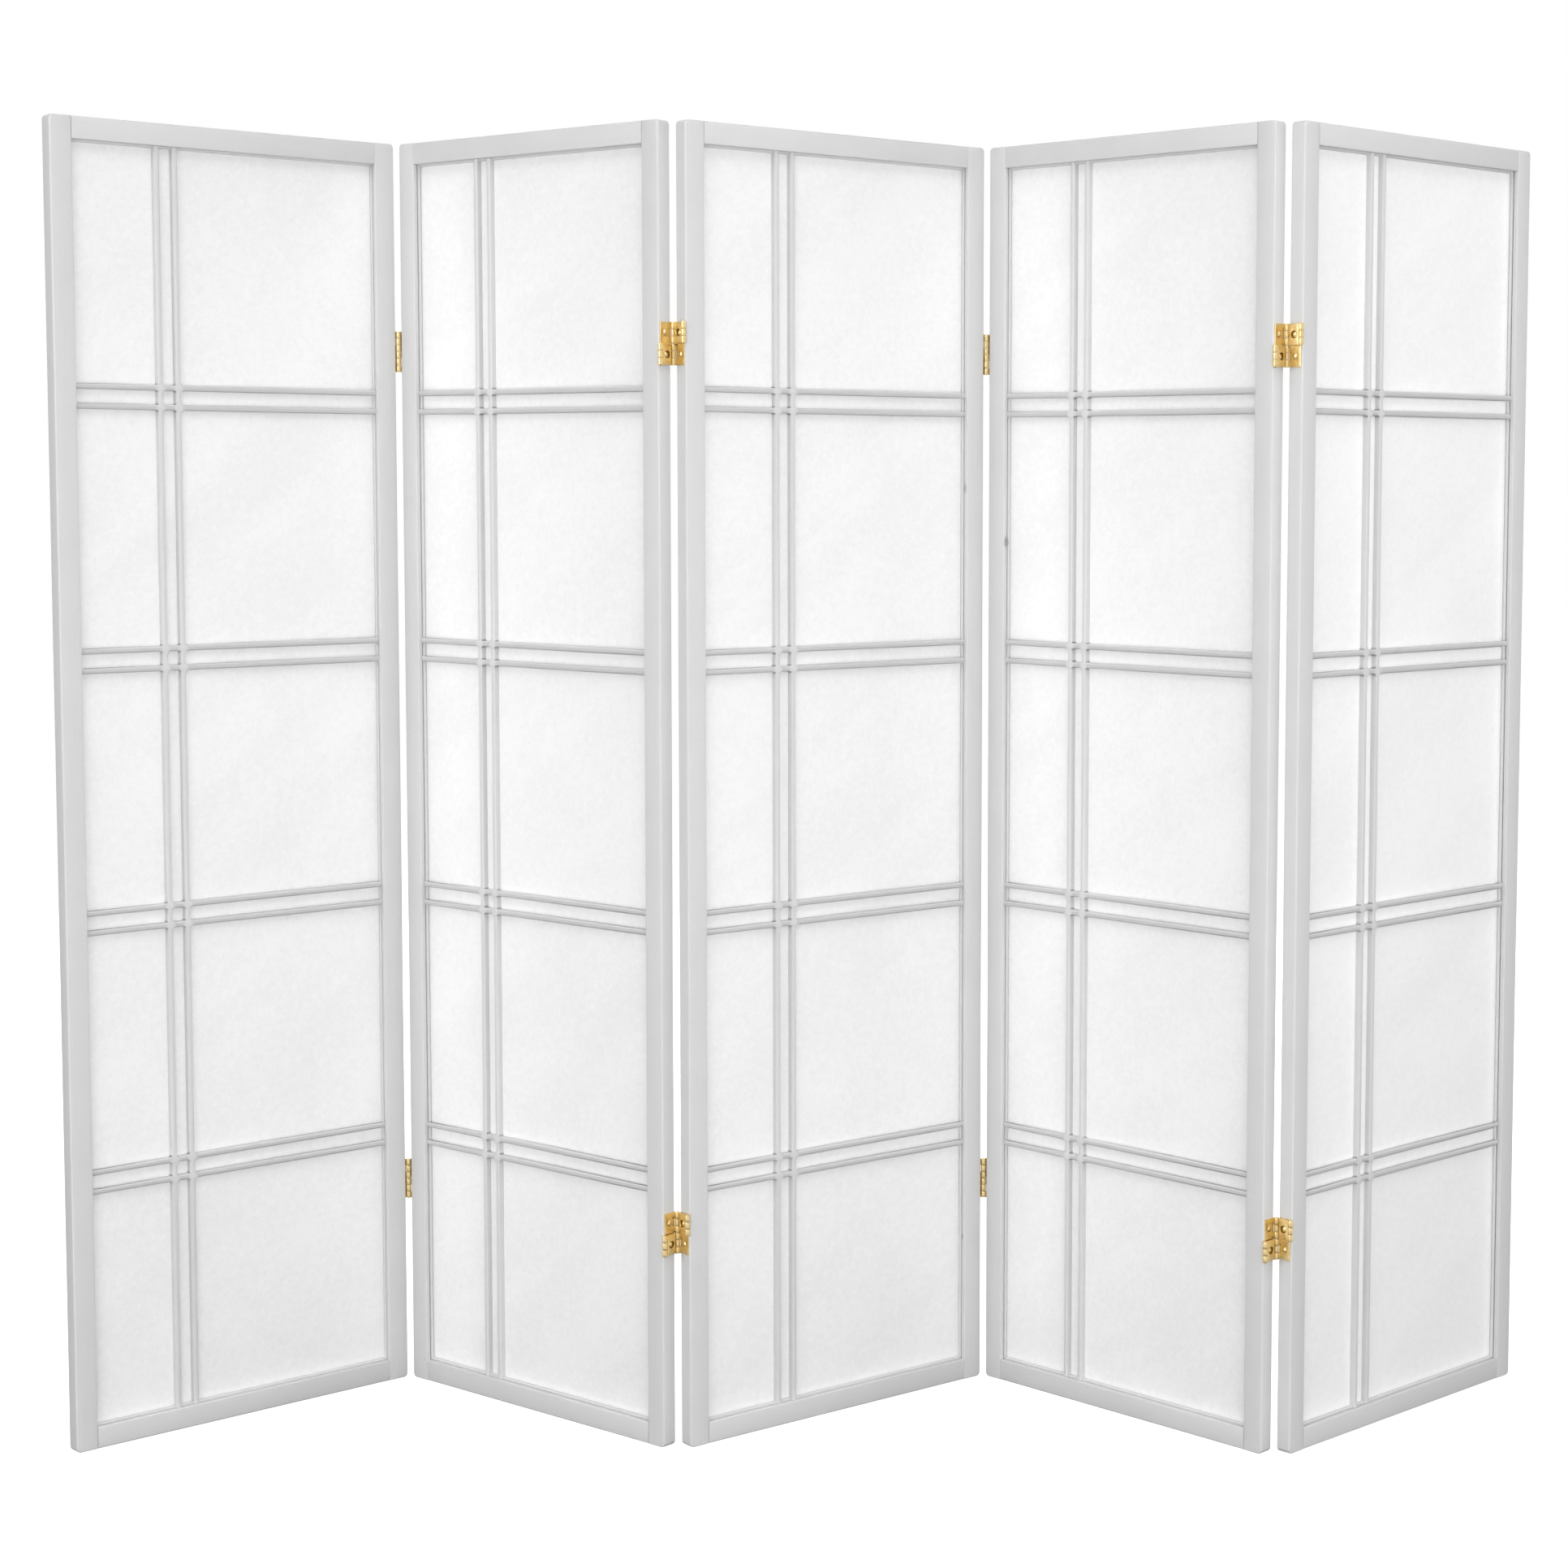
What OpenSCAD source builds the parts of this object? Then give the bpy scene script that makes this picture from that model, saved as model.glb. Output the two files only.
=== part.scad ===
// Folding shoji screen: five paper panels in painted frames, joined edge to edge by
// double-action hinges. X runs along the screen, -Y is the front, Z is up, and the
// origin is at the middle of the plan, on the floor.

/* [Panel] */
// Width of one panel
panel_w = 430; // [300:1:600]
// Height of the screen
panel_h = 1490; // [900:5:2000]
// Thickness of the frame
frame_t = 19; // [16:0.5:28]
// Width of the stiles, the uprights of the frame
stile_w = 25.5; // [20:0.5:45]
// Height of the top and bottom rails
rail_h = 25; // [18:0.5:45]
// Radius of the outer corners, seen from the front
corner_r = 5; // [1:0.5:10]
// Radius of the frame's outer long edges
outer_edge_r = 2; // [0.5:0.25:4]
// Radius of the frame's inner long edges
inner_edge_r = 0.7; // [0.2:0.1:2]

/* [Joinery] */
// Length of the rail's stub tenon
tenon_l = 15; // [8:1:18]
// Thickness of the tenon
tenon_t = 7; // [5:0.5:9]
// Height of the tenon
tenon_h = 14; // [8:1:16]
// Gap round the tenon in its mortise
tenon_clear = 0.1; // [0.05:0.05:0.3]
// Depth of wood left in front of the rabbet that takes the lattice
lip_t = 5.5; // [4:0.5:8]
// Width of the rabbet in the stiles
stile_rabbet = 5; // [3:0.5:8]
// Width of the rabbet in the rails
rail_rabbet = 2; // [1:0.5:5]

/* [Lattice] */
// Width of a slat, seen from the front
slat_w = 6.4; // [5:0.2:10]
// Depth of a slat, from its front to the paper
slat_d = 7; // [5:0.5:9]
// Step from the frame's face back to the slats
slat_setback = 4.5; // [3:0.5:7]
// Radius of the slats' front edges
slat_edge_r = 0.8; // [0.2:0.1:2]
// Pitch of the two slats of a pair
pair_pitch = 22; // [14:0.5:40]
// Clear width of paper left of the two uprights
left_field = 99.5; // [60:0.5:130]
// Number of pairs of crossbars
pair_count = 4; // [1:1:6]
// Width of the border strips round the lattice
border_w = 6; // [4:0.5:10]
// Gap between slats in their half laps, and round the lattice
lap_clear = 0.1; // [0.05:0.05:0.3]
// Thickness of the paper
paper_t = 0.4; // [0.2:0.1:1]
// Gap between the paper and the sides of the rabbet
paper_clear = 0.5; // [0.3:0.1:2]

/* [Folds] */
// Heading of the first panel from the X axis, in degrees
first_heading = 41.7; // [0:0.1:90]
// Rest angle of the first fold, 0 when flat
fold_1 = 81.4; // [5:0.1:170]
// Rest angle of the second fold
fold_2 = 78.9; // [5:0.1:170]
// Rest angle of the third fold
fold_3 = 83.8; // [5:0.1:170]
// Rest angle of the fourth fold
fold_4 = 88.9; // [5:0.1:170]

/* [Hinges] */
// Gap between two panels at a hinge, when flat
hinge_gap = 7; // [6:0.25:10]
// Height of a hinge
hinge_h = 48; // [36:1:70]
// Height of the lower hinges' middle above the floor
lower_hinge_z = 246; // [100:1:350]
// Distance of the upper hinges' middle below the top
upper_hinge_drop = 244; // [100:1:350]
// Thickness of the hinge plates and leaves
plate_t = 1.2; // [0.8:0.1:1.4]
// Gap between a hinge barrel and the edges of the panels
barrel_clear = 0.5; // [0.3:0.05:1]
// Radius of the hinge pins
pin_r = 1.2; // [0.8:0.1:1.6]
// Running gap between a pin and its knuckles
pin_clear = 0.05; // [0.01:0.01:0.1]
// Gap between two folded panels' faces
face_gap = 1; // [0.6:0.1:3]
// Gap between moving parts of a hinge
hinge_clear = 0.35; // [0.3:0.05:0.5]
// Radius of the screw heads
head_r = 2.6; // [2:0.1:3]
// Radius of the screws' shanks
shank_r = 1.3; // [1:0.1:1.6]
// Length of the screws
screw_l = 13; // [9:1:18]
// Radius of the hole in a leaf that clears the screw behind it
leaf_hole_r = 3.6; // [3.2:0.1:4.5]

/* [Hidden] */
panel_count = 5;
panels = [1:panel_count];
kinds = [
    "left_stile", "right_stile", "top_rail", "bottom_rail",
    "lattice_uprights", "lattice_crossbars", "lattice_border", "paper",
    "hinge_plates", "hinge_leaves", "hinge_pins", "hinge_screws"
];

round_fn = 48;
past = 1; // how far a cutter runs past the face that it cuts
half_t = frame_t / 2;
opening_w = panel_w - 2 * stile_w;
opening_h = panel_h - 2 * rail_h;
rail_l = opening_w;

// Depths behind the frame's front face, as Y in the panel's own frame
lip_y = lip_t - half_t;
slat_y = slat_setback - half_t;
paper_y = slat_y + slat_d;
lap_y = slat_y + slat_d / 2;

// The lattice unit fills the rabbet in the frame
unit_x0 = stile_w - stile_rabbet + lap_clear;
unit_x1 = panel_w - unit_x0;
unit_z0 = rail_h - rail_rabbet + lap_clear;
unit_z1 = panel_h - unit_z0;

// Slats, by their lower left corners
upright_x = [for (k = [0, 1]) stile_w + left_field + k * pair_pitch];
pair_h = pair_pitch + slat_w;
cell_h = (opening_h - pair_count * pair_h) / (pair_count + 1);
crossbar_z = [
    for (p = [0:pair_count - 1], k = [0, 1])
        rail_h + cell_h + p * (cell_h + pair_h) + k * pair_pitch
];

// Hinges: the barrels stand half the gap out from the panel's edge
barrel_x = hinge_gap / 2;
barrel_r = barrel_x - barrel_clear;
barrel_y = (frame_t + face_gap) / 2;
half_h = hinge_h / 2;
knuckle_count = 3;
knuckle_h = half_h / knuckle_count;
knuckle_gap = 0.3;
pin_end = 0.2; // how far a pin stops short of the end of its barrel
bore_r = pin_r + pin_clear;
hinge_z = [lower_hinge_z, panel_h - upper_hinge_drop];
// Where a plate stops short of a barrel that turns past it
barrel_reach = pow(barrel_r, 2) - pow(barrel_x - plate_t, 2);
plate_y = barrel_y - hinge_clear - sqrt(max(0, barrel_reach));
leaf_y = barrel_y - barrel_r - hinge_clear;
screw_z = half_h / 2;
slot_w = 0.7;
slot_d = 0.6;
head_sink = 0.1; // how far a screw's head lies under the plate's face
head_cone = head_r - shank_r;
head_top = plate_t - head_sink;
head_x = head_top - head_cone; // where the head's cone starts
screw_clear = 0.05;
point_l = 3;

// Plan of the zig-zag. The odd folds close at the front, the even ones at the back.
fold_side = [-1, 1, -1, 1];
heading_2 = first_heading - fold_1;
heading_3 = heading_2 + fold_2;
heading_4 = heading_3 - fold_3;
heading_5 = heading_4 + fold_4;
headings = [first_heading, heading_2, heading_3, heading_4, heading_5];

function turned(p, a) = [p.x * cos(a) - p.y * sin(a), p.x * sin(a) + p.y * cos(a)];
function right_pivot(n) = [panel_w + barrel_x, fold_side[n - 1] * barrel_y];
function left_pivot(n) = [-barrel_x, fold_side[n - 2] * barrel_y];
function chain_base(n) =
    n == 1
        ? [0, 0]
        : chain_base(n - 1) + turned(right_pivot(n - 1), headings[n - 2])
            - turned(left_pivot(n), headings[n - 1]);

// Round corners and barrels that can touch the plan's bounding box: [x, y, radius]
corner_in = half_t - outer_edge_r;
function plan_rounds(n) = [
    for (x = [outer_edge_r, panel_w - outer_edge_r], y = [-corner_in, corner_in])
        [x, y, outer_edge_r],
    for (y = [-barrel_y, barrel_y], first = n > 1 ? [-barrel_x] : [])
        [first, y, barrel_r],
    for (y = [-barrel_y, barrel_y], last = n < panel_count ? [panel_w + barrel_x] : [])
        [last, y, barrel_r]
];
plan = [
    for (n = panels, q = plan_rounds(n))
        let (c = chain_base(n) + turned([q.x, q.y], headings[n - 1])) [c.x, c.y, q.z]
];
plan_mid = [
    for (k = [0, 1])
        (min([for (q = plan) q[k] - q.z]) + max([for (q = plan) q[k] + q.z])) / 2
];

function panel_base(n) = chain_base(n) - plan_mid;

// Puts a panel's pieces where the zig-zag has them
module in_panel(n) {
    translate(panel_base(n)) rotate(headings[n - 1]) children();
}

// What is outside a quarter circle in the corner at the origin
module corner_waste(r) {
    difference() {
        translate([-past, -past]) square(r + past);
        translate([r, r]) circle(r, $fn = round_fn);
    }
}

// A rectangle whose left and right corners have their own radii
module eased_rect(size, left_r, right_r) {
    difference() {
        square(size);
        corner_waste(left_r);
        translate([0, size.y]) mirror([0, 1]) corner_waste(left_r);
        translate([size.x, 0]) mirror([1, 0]) corner_waste(right_r);
        translate(size) rotate(180) corner_waste(right_r);
    }
}

module mirrored_panel() {
    translate([panel_w, 0, 0]) mirror([1, 0, 0]) children();
}

module mortise() {
    translate([
        stile_w - tenon_l - tenon_clear,
        -tenon_t / 2 - tenon_clear,
        (rail_h - tenon_h) / 2 - tenon_clear
    ])
        cube([tenon_l + past, tenon_t + 2 * tenon_clear, tenon_h + 2 * tenon_clear]);
}

// Hole in a stile's edge for one hinge screw
module pilot_hole() {
    rotate([0, -90, 0])
        cylinder(r = shank_r + screw_clear, h = screw_l + screw_clear, $fn = round_fn);
    head_room();
}

// Countersink for a screw's head, as deep as the plate and the head need
module head_room() {
    translate([head_x, 0, 0])
        rotate([0, 90, 0])
            cylinder(
                r1 = shank_r + screw_clear, r2 = head_r + screw_clear + head_sink,
                h = plate_t - head_x, $fn = round_fn
            );
}

// A stile at the left of a panel. Hinges are screwed to it where hinged is true.
module stile(hinged) {
    difference() {
        intersection() {
            linear_extrude(panel_h)
                translate([0, -half_t]) eased_rect([stile_w, frame_t], outer_edge_r, inner_edge_r);
            translate([0, half_t, 0])
                rotate([90, 0, 0])
                    linear_extrude(frame_t)
                        difference() {
                            square([stile_w, panel_h]);
                            corner_waste(corner_r);
                            translate([0, panel_h]) mirror([0, 1]) corner_waste(corner_r);
                        }
        }
        mortise();
        translate([0, 0, panel_h]) mirror([0, 0, 1]) mortise();
        translate([stile_w - stile_rabbet, lip_y, rail_h - rail_rabbet])
            cube([stile_rabbet + past, frame_t, panel_h - 2 * (rail_h - rail_rabbet)]);
        if (hinged)
            for (z = hinge_z, half = [-1, 1])
                translate([0, 0, z + half * screw_z]) mirror([1, 0, 0]) pilot_hole();
    }
}

module left_stile(n) {
    color("whitesmoke") stile(n > 1);
}

module right_stile(n) {
    color("whitesmoke") mirrored_panel() stile(n < panel_count);
}

// A rail at the bottom of a panel, with its tenons
module rail() {
    translate([stile_w, 0, 0]) {
        difference() {
            rotate([90, 0, 90])
                linear_extrude(rail_l)
                    translate([-half_t, rail_h])
                        rotate(-90) eased_rect([rail_h, frame_t], inner_edge_r, outer_edge_r);
            translate([-past, lip_y, rail_h - rail_rabbet])
                cube([rail_l + 2 * past, frame_t, rail_rabbet + past]);
        }
        for (x = [-tenon_l, rail_l])
            translate([x, -tenon_t / 2, (rail_h - tenon_h) / 2])
                cube([tenon_l, tenon_t, tenon_h]);
    }
}

module bottom_rail(n) {
    color("whitesmoke") rail();
}

module top_rail(n) {
    color("whitesmoke") translate([0, 0, panel_h]) mirror([0, 0, 1]) rail();
}

// A slat lying along X from the origin, its front at Y = 0, its front edges eased
module slat(length) {
    rotate([90, 0, 90])
        linear_extrude(length)
            difference() {
                square([slat_d, slat_w]);
                corner_waste(slat_edge_r);
                translate([0, slat_w]) mirror([0, 1]) corner_waste(slat_edge_r);
            }
}

// Room that a border strip takes out of the slats that run over it
module border_room() {
    for (x = [unit_x0, unit_x1 - border_w])
        translate([x - lap_clear, lip_y - lap_clear, 0])
            cube([border_w + 2 * lap_clear, slat_d, panel_h]);
    for (z = [unit_z0, unit_z1 - border_w])
        translate([0, lip_y - lap_clear, z - lap_clear])
            cube([panel_w, slat_d, border_w + 2 * lap_clear]);
}

// Uprights, notched in front where the crossbars pass
module lattice_uprights(n) {
    color("white")
        difference() {
            for (x = upright_x)
                translate([x + slat_w, slat_y, rail_h]) rotate([0, -90, 0]) slat(opening_h);
            for (z = crossbar_z)
                translate([0, slat_y - past, z - lap_clear])
                    cube([panel_w, slat_d / 2 + past + lap_clear, slat_w + 2 * lap_clear]);
            border_room();
        }
}

// Crossbars, notched behind where the uprights pass
module lattice_crossbars(n) {
    color("white")
        difference() {
            for (z = crossbar_z)
                translate([stile_w, slat_y, z]) slat(opening_w);
            for (x = upright_x)
                translate([x - lap_clear, lap_y, 0])
                    cube([slat_w + 2 * lap_clear, slat_d, panel_h]);
            border_room();
        }
}

// Four strips round the lattice, butted at the corners, seated in the rabbet
module lattice_border(n) {
    strip_d = paper_y - lip_y - lap_clear;
    color("white")
        translate([0, lip_y + lap_clear, 0]) {
            for (x = [unit_x0, unit_x1 - border_w])
                translate([x, 0, unit_z0]) cube([border_w, strip_d, unit_z1 - unit_z0]);
            for (z = [unit_z0, unit_z1 - border_w])
                translate([unit_x0 + border_w + lap_clear, 0, z])
                    cube([unit_x1 - unit_x0 - 2 * (border_w + lap_clear), strip_d, border_w]);
        }
}

module paper(n) {
    inset = paper_clear - lap_clear;
    color("ivory")
        translate([unit_x0 + inset, paper_y, unit_z0 + inset])
            cube([unit_x1 - unit_x0 - 2 * inset, paper_t, unit_z1 - unit_z0 - 2 * inset]);
}

// At each hinge of one edge of a panel. There +X points out of the edge, +Y is the side
// on which the fold closes, and Z is 0 at the hinge's middle.
module at_right_edge(n) {
    if (n < panel_count)
        for (z = hinge_z)
            translate([panel_w, 0, z]) facing(fold_side[n - 1]) children();
}

// The left edge's hardware is the right edge's turned upside down
module at_left_edge(n) {
    if (n > 1)
        for (z = hinge_z)
            translate([0, 0, z])
                mirror([1, 0, 0]) mirror([0, 0, 1]) facing(fold_side[n - 2]) children();
}

module at_both_edges(n) {
    at_right_edge(n) children();
    at_left_edge(n) children();
}

module facing(side) {
    mirror([0, side < 0 ? 1 : 0, 0]) children();
}

// One knuckle, k steps from the hinge's middle, rolled on to a plate or leaf whose
// metal lies from x to x + plate_t and whose edge is at y
module knuckle(k, x, y) {
    translate([0, 0, k * knuckle_h + knuckle_gap / 2])
        linear_extrude(knuckle_h - knuckle_gap)
            difference() {
                union() {
                    translate([barrel_x, barrel_y]) circle(barrel_r, $fn = round_fn);
                    translate([x, y - past]) square([plate_t, barrel_y - y + past]);
                }
                translate([barrel_x, barrel_y]) circle(bore_r, $fn = round_fn);
            }
}

// A plate has its closing-side knuckles in the upper half and the others in the lower
module hinge_plate() {
    difference() {
        translate([0, -plate_y, knuckle_gap / 2 - half_h])
            cube([plate_t, 2 * plate_y, hinge_h - knuckle_gap]);
        for (half = [-1, 1])
            translate([0, 0, half * screw_z]) head_room();
    }
    for (k = [0, knuckle_count - 1]) {
        knuckle(k, 0, plate_y);
        mirror([0, 1, 0]) mirror([0, 0, 1]) knuckle(k, 0, plate_y);
    }
}

// A leaf spans the two barrels in the lower half
module hinge_leaf() {
    leaf_x = barrel_x - plate_t / 2;
    difference() {
        translate([leaf_x, -leaf_y, knuckle_gap / 2 - half_h])
            cube([plate_t, 2 * leaf_y, half_h - knuckle_gap]);
        translate([leaf_x - past, 0, -screw_z])
            rotate([0, 90, 0]) cylinder(r = leaf_hole_r, h = plate_t + 2 * past, $fn = round_fn);
    }
    for (side = [0, 1])
        mirror([0, side, 0]) mirror([0, 0, 1]) knuckle(1, leaf_x, leaf_y);
}

module pin(z, length, side) {
    translate([barrel_x, side * barrel_y, z])
        cylinder(r = pin_r, h = length, $fn = round_fn);
}

module hinge_plates(n) {
    color("goldenrod") at_both_edges(n) hinge_plate();
}

module hinge_leaves(n) {
    color("gold") at_both_edges(n) hinge_leaf();
}

// A long pin on the closing side goes with the panel at its left
module hinge_pins(n) {
    color("darkgoldenrod") {
        at_both_edges(n) pin(pin_end - half_h, half_h - pin_end - knuckle_gap / 2, -1);
        at_right_edge(n) pin(pin_end - half_h, hinge_h - 2 * pin_end, 1);
    }
}

// A countersunk slotted wood screw, its head under the plate's face
module screw() {
    difference() {
        union() {
            translate([head_x, 0, 0])
                rotate([0, 90, 0]) cylinder(r1 = shank_r, r2 = head_r, h = head_cone, $fn = round_fn);
            translate([point_l - screw_l, 0, 0])
                rotate([0, 90, 0])
                    cylinder(r = shank_r, h = screw_l - point_l + head_x, $fn = round_fn);
            translate([-screw_l, 0, 0])
                rotate([0, 90, 0]) cylinder(r1 = shank_r / 4, r2 = shank_r, h = point_l, $fn = round_fn);
        }
        translate([head_top - slot_d, -head_r, -slot_w / 2]) cube([slot_d + past, 2 * head_r, slot_w]);
    }
}

module hinge_screws(n) {
    color("goldenrod")
        at_both_edges(n)
            for (half = [-1, 1]) translate([0, 0, half * screw_z]) screw();
}

for (n = panels) {
    in_panel(n) left_stile(n);
    in_panel(n) right_stile(n);
    in_panel(n) top_rail(n);
    in_panel(n) bottom_rail(n);
    in_panel(n) lattice_uprights(n);
    in_panel(n) lattice_crossbars(n);
    in_panel(n) lattice_border(n);
    in_panel(n) paper(n);
    in_panel(n) hinge_plates(n);
    in_panel(n) hinge_leaves(n);
    in_panel(n) hinge_pins(n);
    in_panel(n) hinge_screws(n);
}
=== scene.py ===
import math
import bpy
import bmesh
import numpy as np
from mathutils import Matrix


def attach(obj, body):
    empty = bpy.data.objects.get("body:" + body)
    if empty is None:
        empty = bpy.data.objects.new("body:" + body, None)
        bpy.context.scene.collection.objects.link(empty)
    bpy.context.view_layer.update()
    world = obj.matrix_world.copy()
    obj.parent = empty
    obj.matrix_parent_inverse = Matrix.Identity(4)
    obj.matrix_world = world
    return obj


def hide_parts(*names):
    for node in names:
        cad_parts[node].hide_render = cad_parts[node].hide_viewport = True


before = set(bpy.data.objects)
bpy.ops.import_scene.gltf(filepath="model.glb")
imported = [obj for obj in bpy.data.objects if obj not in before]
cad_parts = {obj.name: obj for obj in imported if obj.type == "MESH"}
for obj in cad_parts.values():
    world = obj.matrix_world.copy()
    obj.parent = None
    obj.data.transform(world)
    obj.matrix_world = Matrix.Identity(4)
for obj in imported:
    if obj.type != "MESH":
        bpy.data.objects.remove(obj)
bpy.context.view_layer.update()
scene = bpy.context.scene
panelCount = 5
upZ = np.array([0.0, 0.0, 1.0])

cameraView = {
    "place": (0.12728, -3.43562, 1.10243),
    "yaw": -1.415,  # degrees, a minus turns to the right of straight ahead
    "pitch": 4.593,  # degrees, looking down
    "roll": 0.24,
    "lens": 68.283,
    "sensor": 36,
    "shift": (-0.1398, -0.0445),
    "clip": (0.05, 400),
}

room = {
    "floorReach": 160.0,
    "floorColor": (0.4, 0.4, 0.4, 1),
    "floorRoughness": 0.9,
    "floorGlow": 1.0,
    "skyLight": 1.0,
    "groundLight": 0.12,
    "duskBand": (-0.75, -0.3),  # the Z of a ray, over which ground light turns to sky light
}

# name, place, aimed at, width, height, watts, whether the brass mirrors it
softboxes = [
    ("overheadBox", (0.0, -1.5, 3.8), (0.0, 0.0, 0.9), 6.0, 0.9, 51, True),
    ("underBox", (0.0, -2.4, 0.03), (0.0, 0.0, 0.75), 6.0, 1.2, 33, False),
    ("wideBox", (0.0, -2.8, 4.1), (0.0, 0.0, 0.9), 7.0, 1.2, 43, False),
    ("frontBox", (0.0, -3.9, 0.95), (0.0, 0.0, 0.7), 5.0, 1.4, 74, False),
    ("rightBox", (2.4, -2.6, 1.5), (0.0, 0.0, 0.9), 1.4, 1.6, 23, False),
    ("farLeftBox", (-4.0, -3.2, 1.8), (0.0, 0.0, 0.9), 1.6, 2.0, 72, True),
    ("sideBox", (3.2, -0.9, 1.4), (0.6, 0.0, 0.9), 1.2, 1.6, 21, False),
    ("backHighBox", (0.0, 3.4, 3.8), (0.0, 0.0, 0.9), 7.0, 1.4, 120, False),
    ("backBox", (0.0, 3.9, 1.3), (0.0, 0.0, 0.9), 5.0, 1.4, 130, False),
]


def unit(v):
    v = np.asarray(v, float)
    return v / np.linalg.norm(v)


def placeObject(thing, x, y, z, place):
    # the object's own axes are the columns of its matrix
    rows = np.eye(4)
    rows[:3, :3] = np.stack([x, y, z], axis=1)
    rows[:3, 3] = place
    thing.matrix_world = Matrix(rows.tolist())
    scene.collection.objects.link(thing)


def makeCamera(view):
    # right = level axis turned by roll, ahead = heading lowered by pitch, up = across both
    yaw, pitch, roll = (math.radians(view[k]) for k in ("yaw", "pitch", "roll"))
    right = np.array([math.cos(yaw), math.sin(yaw), 0])
    level = np.array([-math.sin(yaw), math.cos(yaw), 0])
    ahead = level * math.cos(pitch) - upZ * math.sin(pitch)
    above = level * math.sin(pitch) + upZ * math.cos(pitch)
    data = bpy.data.cameras.new("camera")
    data.lens = view["lens"]
    data.sensor_width = view["sensor"]
    data.shift_x, data.shift_y = view["shift"]
    data.clip_start, data.clip_end = view["clip"]
    camera = bpy.data.objects.new("camera", data)
    across = right * math.cos(roll) + above * math.sin(roll)
    up = above * math.cos(roll) - right * math.sin(roll)
    placeObject(camera, across, up, -ahead, view["place"])
    scene.camera = camera


def makeSoftbox(name, place, target, width, height, watts, mirrored):
    data = bpy.data.lights.new(name, "AREA")
    data.shape = "RECTANGLE"
    data.size, data.size_y = width, height
    data.energy = watts
    back = unit(np.subtract(place, target))
    side = unit(np.cross(upZ, back))
    lamp = bpy.data.objects.new(name, data)
    lamp.visible_camera = False
    lamp.visible_glossy = mirrored
    placeObject(lamp, side, np.cross(back, side), back, place)


class Signal:
    # a shader socket that sums and products can be written with
    def __init__(self, graph, socket):
        self.graph = graph
        self.socket = socket

    def maths(self, operation, first, second):
        return self.graph.node("ShaderNodeMath", {"operation": operation}, {0: first, 1: second})

    def __add__(self, other):
        return self.maths("ADD", self, other)

    def __sub__(self, other):
        return self.maths("SUBTRACT", self, other)

    def __mul__(self, other):
        return self.maths("MULTIPLY", self, other)


class Graph:
    # a material's nodes, made one at a time from their type, settings and sockets
    def __init__(self, owner):
        owner.use_nodes = True
        self.tree = owner.node_tree

    def node(self, kind, settings, values, output=0):
        made = self.tree.nodes.new(kind)
        for key, value in settings.items():
            setattr(made, key, value)
        self.fill(made, values)
        return Signal(self, made.outputs[output])

    def fill(self, made, values):
        for key, value in values.items():
            if isinstance(value, Signal):
                self.tree.links.new(value.socket, made.inputs[key])
            else:
                made.inputs[key].default_value = value

    def noise(self, vector, scale, detail=2.0, roughness=0.5, distortion=0.0):
        values = {"Vector": vector, "Scale": scale, "Detail": detail,
                  "Roughness": roughness, "Distortion": distortion}
        return self.node("ShaderNodeTexNoise", {}, values)

    def stretched(self, vector, scale):
        return self.node("ShaderNodeMapping", {}, {"Vector": vector, "Scale": scale})

    def mixed(self, amount, first, second):
        # a colour between two, by amount
        settings = {"data_type": "RGBA"}
        return self.node("ShaderNodeMix", settings, {0: amount, 6: first, 7: second}, 2)

    def between(self, value, low, high, toLow=0.0, toHigh=1.0):
        # value carried from low..high to toLow..toHigh and kept there
        values = {0: value, 1: low, 2: high, 3: toLow, 4: toHigh}
        return self.node("ShaderNodeMapRange", {"interpolation_type": "SMOOTHSTEP"}, values)

    def bumped(self, height, look):
        # a shading normal from a height, as strong and as deep as the look says
        values = {"Strength": look["relief"], "Distance": look["reliefDepth"], "Height": height}
        return self.node("ShaderNodeBump", {}, values)

    def rough(self, value, look):
        # the look's roughness, less or more by its roughSpan as the value runs from 0.3 to 0.7
        less, more = look["roughSpan"]
        return self.between(value, 0.3, 0.7, look["roughness"] - less, look["roughness"] + more)


def makeMaterial(name, build):
    material = bpy.data.materials.new(name)
    graph = Graph(material)
    shader = graph.tree.nodes["Principled BSDF"]
    build(graph, shader)
    print("material", name)
    return material


def makeRoom(room):
    # a wide pale floor under a pale sky that is dimmer below the horizon
    def floorPaint(graph, shader):
        graph.fill(shader, {"Base Color": room["floorColor"], "Roughness": room["floorRoughness"],
                            "Specular IOR Level": 0.0, "Emission Color": (1, 1, 1, 1),
                            "Emission Strength": room["floorGlow"]})

    reach = room["floorReach"]
    mesh = bpy.data.meshes.new("floor")
    corners = [(-reach, -reach, 0), (reach, -reach, 0), (reach, reach, 0), (-reach, reach, 0)]
    mesh.from_pydata(corners, [], [(0, 1, 2, 3)])
    mesh.materials.append(makeMaterial("floorPaint", floorPaint))
    floor = bpy.data.objects.new("floor", mesh)
    scene.collection.objects.link(floor)
    floor.visible_diffuse = False
    floor.visible_glossy = False
    world = bpy.data.worlds.new("paleRoom")
    scene.world = world
    world.cycles_visibility.diffuse = False
    graph = Graph(world)
    ray = graph.node("ShaderNodeTexCoord", {}, {}, "Generated")
    height = graph.node("ShaderNodeSeparateXYZ", {}, {"Vector": ray}, "Z")
    strength = graph.between(height, *room["duskBand"], room["groundLight"], room["skyLight"])
    background = graph.tree.nodes["Background"]
    graph.fill(background, {"Color": (1, 1, 1, 1), "Strength": strength})


scene.view_settings.view_transform = "Standard"
makeCamera(cameraView)
makeRoom(room)
for box in softboxes:
    makeSoftbox(*box)
print("camera, floor and light stand")


digits = 6  # places in metres are compared to the micrometre


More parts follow.
